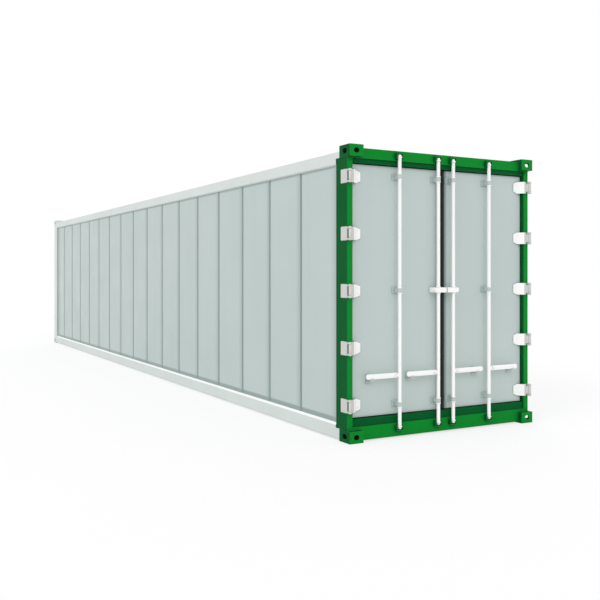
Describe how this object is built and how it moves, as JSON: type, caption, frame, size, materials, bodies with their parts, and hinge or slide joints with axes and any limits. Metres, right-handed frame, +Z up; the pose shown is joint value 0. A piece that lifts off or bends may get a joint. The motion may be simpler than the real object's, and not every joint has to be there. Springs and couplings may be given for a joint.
{
  "type": "forty foot high-cube shipping container",
  "caption": "Steel shipping container with flat pressed-joint walls, a green door end, hinged double doors, lock rods with handles and corner castings.",
  "frame": {"origin": "on the ground under the middle of the container", "axes": "+X along the length towards the doors, +Y towards the right door as seen facing the doors, +Z up"},
  "size_m": [12.192, 2.438, 2.896],
  "materials": {
    "green_paint": "satin green paint",
    "wall_paint": "satin pale grey-green paint",
    "rail_paint": "satin off-white paint",
    "white_paint": "satin white paint",
    "hinge_paint": "satin light grey paint",
    "seal_rubber": "matt black rubber",
    "floor_board": "varnished floor board",
    "underframe_coating": "matt dark undercoat"
  },
  "bodies": {
    "container": {"door_top_castings": "green_paint", "door_bottom_castings": "green_paint", "front_top_castings": "rail_paint", "front_bottom_castings": "rail_paint", "door_header": "green_paint", "door_sill": "green_paint", "front_header": "rail_paint", "front_sill": "rail_paint", "front_wall": "wall_paint", "roof": "wall_paint", "floor_deck": "floor_board", "floor_crossmembers": "underframe_coating", "rod_keepers": "green_paint", "left_door_post": "green_paint", "left_front_post": "rail_paint", "left_bottom_rail": "rail_paint", "left_top_rail": "rail_paint", "left_side_wall": "wall_paint", "left_hinge_lugs": "hinge_paint", "right_door_post": "green_paint", "right_front_post": "rail_paint", "right_bottom_rail": "rail_paint", "right_top_rail": "rail_paint", "right_side_wall": "wall_paint", "right_hinge_lugs": "hinge_paint"},
    "left_door": {"left_door_frame": "wall_paint", "left_door_skin": "wall_paint", "left_door_gasket": "seal_rubber", "left_hinge_blades": "hinge_paint", "left_rod_guides": "white_paint", "left_handle_catches": "white_paint", "left_centre_hasp": "white_paint"},
    "left_outer_rod": {"left_outer_rod": "white_paint"},
    "left_outer_handle": {"left_outer_handle": "white_paint"},
    "left_inner_rod": {"left_inner_rod": "white_paint"},
    "left_inner_handle": {"left_inner_handle": "white_paint"},
    "right_door": {"right_door_frame": "wall_paint", "right_door_skin": "wall_paint", "right_door_gasket": "seal_rubber", "right_hinge_blades": "hinge_paint", "right_rod_guides": "white_paint", "right_handle_catches": "white_paint", "right_centre_hasp": "white_paint"},
    "right_outer_rod": {"right_outer_rod": "white_paint"},
    "right_outer_handle": {"right_outer_handle": "white_paint"},
    "right_inner_rod": {"right_inner_rod": "white_paint"},
    "right_inner_handle": {"right_inner_handle": "white_paint"}
  },
  "joints": [
    {"name": "left_door_swing", "type": "hinge", "parent": "container", "child": "left_door", "pos_m": [6.076, -1.201, 1.466], "axis": [0, 0, -1], "range_deg": [0, 264]},
    {"name": "left_outer_rod_turn", "type": "hinge", "parent": "left_door", "child": "left_outer_rod", "pos_m": [6.072, -0.599, 1.466], "axis": [0, 0, -1], "range_deg": [-90, 0]},
    {"name": "left_outer_handle_lift", "type": "hinge", "parent": "left_outer_rod", "child": "left_outer_handle", "pos_m": [6.072, -0.643, 0.63], "axis": [1, 0, 0], "range_deg": [-60, 0]},
    {"name": "left_inner_rod_turn", "type": "hinge", "parent": "left_door", "child": "left_inner_rod", "pos_m": [6.072, -0.1, 1.466], "axis": [0, 0, -1], "range_deg": [-90, 0]},
    {"name": "left_inner_handle_lift", "type": "hinge", "parent": "left_inner_rod", "child": "left_inner_handle", "pos_m": [6.072, -0.144, 0.63], "axis": [1, 0, 0], "range_deg": [-60, 0]},
    {"name": "right_door_swing", "type": "hinge", "parent": "container", "child": "right_door", "pos_m": [6.076, 1.201, 1.466], "axis": [0, 0, 1], "range_deg": [0, 264]},
    {"name": "right_outer_rod_turn", "type": "hinge", "parent": "right_door", "child": "right_outer_rod", "pos_m": [6.072, 0.599, 1.466], "axis": [0, 0, 1], "range_deg": [-90, 0]},
    {"name": "right_outer_handle_lift", "type": "hinge", "parent": "right_outer_rod", "child": "right_outer_handle", "pos_m": [6.072, 0.643, 0.63], "axis": [-1, 0, 0], "range_deg": [-60, 0]},
    {"name": "right_inner_rod_turn", "type": "hinge", "parent": "right_door", "child": "right_inner_rod", "pos_m": [6.072, 0.1, 1.466], "axis": [0, 0, 1], "range_deg": [-90, 0]},
    {"name": "right_inner_handle_lift", "type": "hinge", "parent": "right_inner_rod", "child": "right_inner_handle", "pos_m": [6.072, 0.144, 0.63], "axis": [-1, 0, 0], "range_deg": [-60, 0]}
  ]
}
